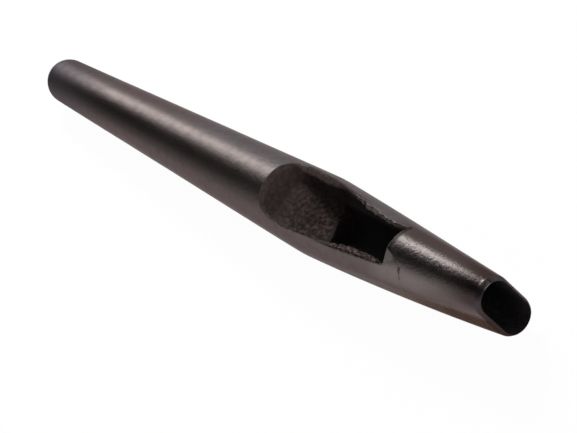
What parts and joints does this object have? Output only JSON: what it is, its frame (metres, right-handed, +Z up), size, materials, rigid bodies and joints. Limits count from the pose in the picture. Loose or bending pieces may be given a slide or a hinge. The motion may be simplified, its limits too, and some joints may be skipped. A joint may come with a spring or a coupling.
{
  "type": "oval hole punch",
  "caption": "One-piece steel drive punch with a domed struck head, tapered round shank, open slug pocket and hollow oval cutting tip, for punching oval holes in leather and sheet.",
  "frame": {"origin": "centre of the footprint, on the surface that the tool lies on", "axes": "+X towards the cutting edge, +Z up, out of the slug pocket; the shank's underside lies along the surface, so the tool's own axis rises 1.5 degrees towards the cutting edge"},
  "size_m": [0.1336, 0.013, 0.0133],
  "materials": {
    "forged_steel": "dark satin hardened tool steel, ground along the tool, with rough dark scale in the pocket"
  },
  "bodies": {
    "root": {"punch_body": "forged_steel"}
  },
  "joints": []
}
